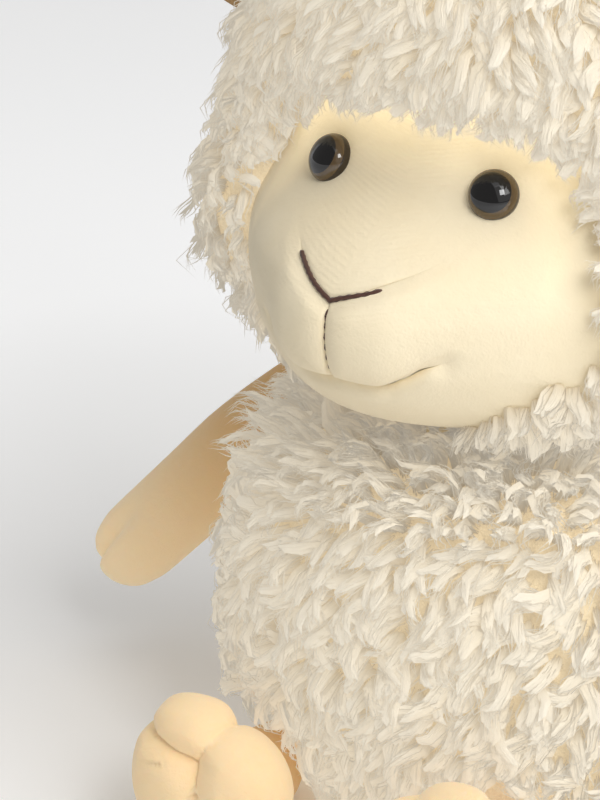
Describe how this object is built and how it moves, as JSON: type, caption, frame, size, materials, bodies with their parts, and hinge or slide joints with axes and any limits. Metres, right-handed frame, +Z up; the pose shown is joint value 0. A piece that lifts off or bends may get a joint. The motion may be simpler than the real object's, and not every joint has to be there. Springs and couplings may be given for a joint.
{
  "type": "plush sheep",
  "caption": "Sitting plush sheep with a curly wool body and hood, smooth velour face, stuffed arms and legs with cloven tips, and a head that turns and nods.",
  "frame": {"origin": "middle of the flat seat, on the surface that the sheep sits on", "axes": "+Z up, -Y the way the face looks, +X the sheep's own left"},
  "size_m": [0.278, 0.181, 0.266],
  "materials": {
    "wool": "matte",
    "velour": "matte",
    "stuffing": "matte",
    "bag_cloth": "matte",
    "ear_tan": "matte",
    "thread": "satin",
    "eye_plastic": "gloss",
    "washer_plastic": "satin"
  },
  "bodies": {
    "body": {"body_wool": "wool", "body_stuffing": "stuffing", "pellet_bag": "bag_cloth"},
    "neck": {"neck_roll": "velour"},
    "head": {"hood_wool": "wool", "face_bridge": "velour", "cheek_left": "velour", "cheek_right": "velour", "chin_panel": "velour", "head_stuffing": "stuffing", "eye_left": "eye_plastic", "eye_right": "eye_plastic", "eye_washer_left": "washer_plastic", "eye_washer_right": "washer_plastic", "nose_stitch": "thread", "lip_stitch": "thread"},
    "tail": {"tail_wool": "wool"},
    "ear_left": {"ear_back_left": "velour", "ear_lining_left": "ear_tan"},
    "arm_left": {"arm_skin_left": "velour", "arm_stuffing_left": "stuffing", "paw_stitch_left": "thread"},
    "leg_left": {"leg_skin_left": "velour", "leg_stuffing_left": "stuffing", "foot_stitch_left": "thread"},
    "ear_right": {"ear_back_right": "velour", "ear_lining_right": "ear_tan"},
    "arm_right": {"arm_skin_right": "velour", "arm_stuffing_right": "stuffing", "paw_stitch_right": "thread"},
    "leg_right": {"leg_skin_right": "velour", "leg_stuffing_right": "stuffing", "foot_stitch_right": "thread"}
  },
  "joints": [
    {"name": "neck_turn", "type": "hinge", "parent": "body", "child": "neck", "pos_m": [0, 0, 0.1], "axis": [0, 0, 1], "range_deg": [-30, 30], "stiffness_Nm_per_rad": 0.4},
    {"name": "neck_nod", "type": "hinge", "parent": "neck", "child": "head", "pos_m": [0, 0, 0.1], "axis": [1, 0, 0], "range_deg": [-12, 8], "stiffness_Nm_per_rad": 2},
    {"name": "tail_lift", "type": "hinge", "parent": "body", "child": "tail", "pos_m": [0, 0.06424, 0.036], "axis": [1, 0, 0], "range_deg": [-8, 25], "stiffness_Nm_per_rad": 0.02},
    {"name": "shoulder_left", "type": "hinge", "parent": "body", "child": "arm_left", "pos_m": [0.05991, 0, 0.102], "axis": [0, -1, 0], "range_deg": [-10, 55], "stiffness_Nm_per_rad": 0.1},
    {"name": "hip_left", "type": "hinge", "parent": "body", "child": "leg_left", "pos_m": [0.0386, -0.04288, 0.012], "axis": [-0.9877, -0.1564, 0], "range_deg": [-12, 18], "stiffness_Nm_per_rad": 0.15},
    {"name": "ear_left_fold", "type": "hinge", "parent": "head", "child": "ear_left", "pos_m": [0.07396, 0.01182, 0.2066], "axis": [-0.4695, 0, 0.8829], "range_deg": [-30, 30], "stiffness_Nm_per_rad": 0.02},
    {"name": "shoulder_right", "type": "hinge", "parent": "body", "child": "arm_right", "pos_m": [-0.05991, 0, 0.102], "axis": [0, 1, 0], "range_deg": [-10, 55], "stiffness_Nm_per_rad": 0.1},
    {"name": "hip_right", "type": "hinge", "parent": "body", "child": "leg_right", "pos_m": [-0.0386, -0.04288, 0.012], "axis": [-0.9877, -0.1564, 0], "range_deg": [-12, 18], "stiffness_Nm_per_rad": 0.15},
    {"name": "ear_right_fold", "type": "hinge", "parent": "head", "child": "ear_right", "pos_m": [-0.07396, 0.01182, 0.2066], "axis": [-0.4695, 0, -0.8829], "range_deg": [-30, 30], "stiffness_Nm_per_rad": 0.02}
  ]
}
